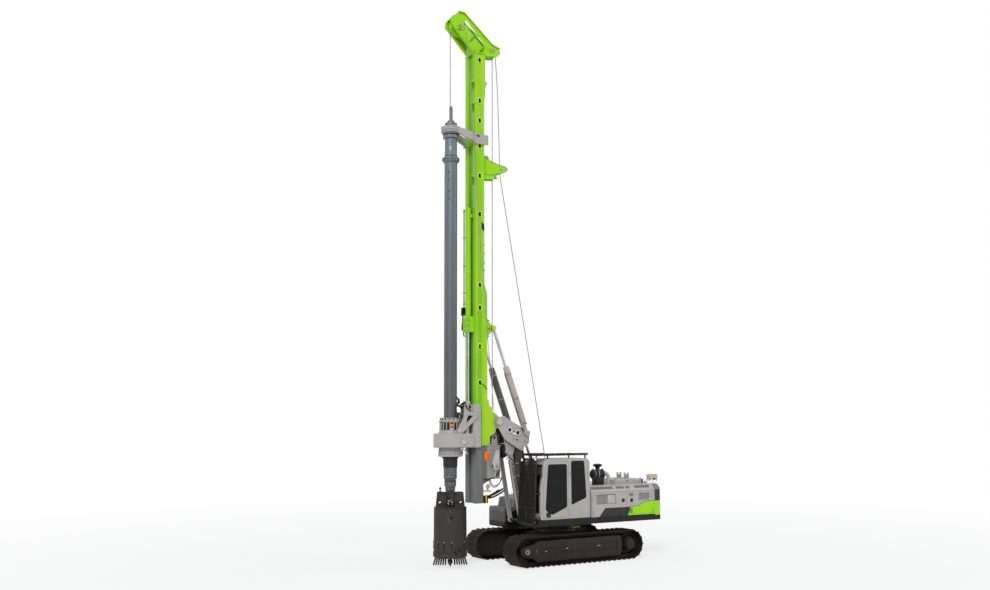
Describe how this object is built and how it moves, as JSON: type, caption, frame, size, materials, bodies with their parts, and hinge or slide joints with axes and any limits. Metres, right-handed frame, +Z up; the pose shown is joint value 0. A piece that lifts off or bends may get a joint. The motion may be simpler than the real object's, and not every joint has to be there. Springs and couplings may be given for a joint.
{
  "type": "rotary piling rig",
  "caption": "Crawler-mounted rotary piling rig with a luffing linkage, a tilting mast, a sliding rotary head, a telescopic kelly bar and a digging bucket.",
  "frame": {"origin": "middle of the machine's outer box on the ground it stands on", "axes": "+X forward to the drilling tool, +Y to the cab's side, +Z up the mast"},
  "size_m": [7.7013, 2.96, 17.18],
  "materials": {
    "chassis": "black-brown chassis paint with dust",
    "track_steel": "worn dark track steel",
    "bearing_steel": "dark machined steel",
    "deck_black": "satin black paint",
    "house_grey": "warm light grey paint",
    "tank_grey": "mid grey paint over a black foot",
    "weight_green": "lime green and dark grey paint",
    "engine_iron": "cast iron",
    "glass": "dark tinted glass",
    "guard_black": "satin black paint",
    "seat_fabric": "black woven seat cover",
    "drum_steel": "oiled steel with rope",
    "arm_dark": "dark grey paint",
    "link_grey": "warm light grey paint",
    "rod_chrome": "hard chrome rod",
    "mast_green": "lime green paint",
    "kelly_grey": "blue-grey paint",
    "bucket_steel": "dark worn steel"
  },
  "bodies": {
    "base": {"carbody": "chassis", "swing_bearing": "bearing_steel", "track_left": "track_steel", "track_right": "track_steel", "track_frames": "chassis", "track_rollers": "track_steel", "idlers": "track_steel", "drive_sprockets": "track_steel"},
    "house": {"upper_frame": "deck_black", "right_front_box": "tank_grey", "right_tank": "tank_grey", "counterweight": "weight_green", "engine_hood": "house_grey", "engine_block": "engine_iron", "cab_shell": "house_grey", "cab_glass": "glass", "cab_front_guard": "guard_black", "cab_roof_guard": "guard_black", "operator_seat": "seat_fabric", "air_cleaner": "guard_black", "exhaust": "house_grey"},
    "cab_door": {"cab_door": "house_grey", "cab_door_glass": "glass"},
    "front_door_left": {"front_door_left": "house_grey"},
    "front_door_right": {"front_door_right": "house_grey"},
    "rear_door_left": {"rear_door_left": "house_grey"},
    "rear_door_right": {"rear_door_right": "house_grey"},
    "main_winch_drum": {"main_winch_drum": "drum_steel"},
    "arms": {"boom_arms": "arm_dark"},
    "links": {"front_links": "link_grey"},
    "triangle": {"triangle_frame": "link_grey"},
    "luff_barrels": {"luff_barrels": "link_grey"},
    "luff_rods": {"luff_rods": "rod_chrome"},
    "tilt_barrels": {"tilt_barrels": "link_grey"},
    "tilt_rods": {"tilt_rods": "rod_chrome"},
    "mast": {"mast_lower": "link_grey", "mast_main": "mast_green", "mast_head": "mast_green", "rope_guide": "mast_green", "crowd_barrel": "mast_green"},
    "front_sheave": {"front_sheave": "mast_green"},
    "rear_sheave": {"rear_sheave": "mast_green"},
    "aux_winch_drum": {"aux_winch_drum": "drum_steel"},
    "carriage": {"rotary_carriage": "link_grey", "rotary_gearbox": "link_grey", "crowd_rod": "rod_chrome"},
    "drive_sleeve": {"drive_sleeve": "bearing_steel"},
    "kelly_guide": {"kelly_guide": "link_grey"},
    "kelly": {"kelly_tube": "kelly_grey", "kelly_swivel": "kelly_grey"},
    "kelly_inner": {"kelly_inner": "kelly_grey", "bucket": "bucket_steel"},
    "bucket_gate": {"bucket_gate": "bucket_steel"}
  },
  "joints": [
    {"name": "swing", "type": "hinge", "parent": "base", "child": "house", "pos_m": [-0.4285, 0, 1], "axis": [0, 0, 1], "continuous": true},
    {"name": "boom_luff", "type": "hinge", "parent": "house", "child": "arms", "pos_m": [0.6515, 0, 1.43], "axis": [0, 1, 0], "range_deg": [-6, 20]},
    {"name": "link_luff", "type": "hinge", "parent": "house", "child": "links", "pos_m": [1.0215, 0, 1.275], "axis": [0, 1, 0], "range_deg": [-6, 20]},
    {"name": "triangle_level", "type": "hinge", "parent": "arms", "child": "triangle", "pos_m": [1.0215, 0, 3.49], "axis": [0, 1, 0], "range_deg": [-20, 6]},
    {"name": "luff_barrel_swing", "type": "hinge", "parent": "house", "child": "luff_barrels", "pos_m": [0.0315, 0, 1.5], "axis": [0, 1, 0], "range_deg": [-5.13, 17.08]},
    {"name": "luff_rod_slide", "type": "slide", "parent": "luff_barrels", "child": "luff_rods", "axis": [0.3401, 0, 0.9404], "range_m": [-0.03337, 0.111]},
    {"name": "mast_tilt", "type": "hinge", "parent": "triangle", "child": "mast", "pos_m": [1.8415, 0, 4.31], "axis": [0, 1, 0], "range_deg": [-15, 5]},
    {"name": "tilt_barrel_swing", "type": "hinge", "parent": "triangle", "child": "tilt_barrels", "pos_m": [0.8615, 0, 3.96], "axis": [0, 1, 0], "range_deg": [-12.3, 4.1]},
    {"name": "tilt_rod_slide", "type": "slide", "parent": "tilt_barrels", "child": "tilt_rods", "axis": [0.3518, 0, 0.9361], "range_m": [-0.21864, 0.07295]},
    {"name": "crowd", "type": "slide", "parent": "mast", "child": "carriage", "axis": [0, 0, 1], "range_m": [-1.5, 2]},
    {"name": "kelly_lower", "type": "slide", "parent": "carriage", "child": "kelly_guide", "axis": [0, 0, 1], "range_m": [-7.8, 0]},
    {"name": "kelly_spin", "type": "hinge", "parent": "kelly_guide", "child": "kelly", "pos_m": [3.3415, 0, 8], "axis": [0, 0, 1], "continuous": true},
    {"name": "sleeve_spin", "type": "hinge", "parent": "carriage", "child": "drive_sleeve", "pos_m": [3.3415, 0, 3], "axis": [0, 0, 1], "continuous": true},
    {"name": "kelly_extend", "type": "slide", "parent": "kelly", "child": "kelly_inner", "axis": [0, 0, 1], "range_m": [-9, 0]},
    {"name": "gate_open", "type": "hinge", "parent": "kelly_inner", "child": "bucket_gate", "pos_m": [3.3415, 0.549, 0.472], "axis": [1, 0, 0], "range_deg": [0, 80]},
    {"name": "cab_door_swing", "type": "hinge", "parent": "house", "child": "cab_door", "pos_m": [-0.0285, 1.397, 2.25], "axis": [0, 0, 1], "range_deg": [0, 150]},
    {"name": "front_door_left_swing", "type": "hinge", "parent": "house", "child": "front_door_left", "pos_m": [-0.9435, 1.397, 1.755], "axis": [0, 0, -1], "range_deg": [0, 90]},
    {"name": "front_door_right_swing", "type": "hinge", "parent": "house", "child": "front_door_right", "pos_m": [-0.9435, -1.397, 1.755], "axis": [0, 0, 1], "range_deg": [0, 90]},
    {"name": "rear_door_left_swing", "type": "hinge", "parent": "house", "child": "rear_door_left", "pos_m": [-3.3935, 1.397, 1.755], "axis": [0, 0, 1], "range_deg": [0, 90]},
    {"name": "rear_door_right_swing", "type": "hinge", "parent": "house", "child": "rear_door_right", "pos_m": [-3.3935, -1.397, 1.755], "axis": [0, 0, -1], "range_deg": [0, 90]},
    {"name": "main_winch_turn", "type": "hinge", "parent": "house", "child": "main_winch_drum", "pos_m": [-0.4885, 0, 1.79], "axis": [0, 1, 0], "continuous": true},
    {"name": "aux_winch_turn", "type": "hinge", "parent": "mast", "child": "aux_winch_drum", "pos_m": [1.9015, 0, 3.825], "axis": [0, 1, 0], "continuous": true},
    {"name": "front_sheave_turn", "type": "hinge", "parent": "mast", "child": "front_sheave", "pos_m": [3.0835, 0, 16.7], "axis": [0, 1, 0], "continuous": true},
    {"name": "rear_sheave_turn", "type": "hinge", "parent": "mast", "child": "rear_sheave", "pos_m": [1.9615, 0, 16.15], "axis": [0, 1, 0], "continuous": true}
  ],
  "couplings": [
    {"joint": "link_luff", "follows": "boom_luff", "ratio": 1},
    {"joint": "triangle_level", "follows": "boom_luff", "ratio": -1},
    {"joint": "luff_barrel_swing", "follows": "boom_luff", "ratio": 0.85376},
    {"joint": "luff_rod_slide", "follows": "boom_luff", "m_per_rad": 0.31755},
    {"joint": "tilt_barrel_swing", "follows": "mast_tilt", "ratio": 0.81942},
    {"joint": "tilt_rod_slide", "follows": "mast_tilt", "m_per_rad": 0.83435},
    {"joint": "sleeve_spin", "follows": "kelly_spin", "ratio": 1}
  ]
}
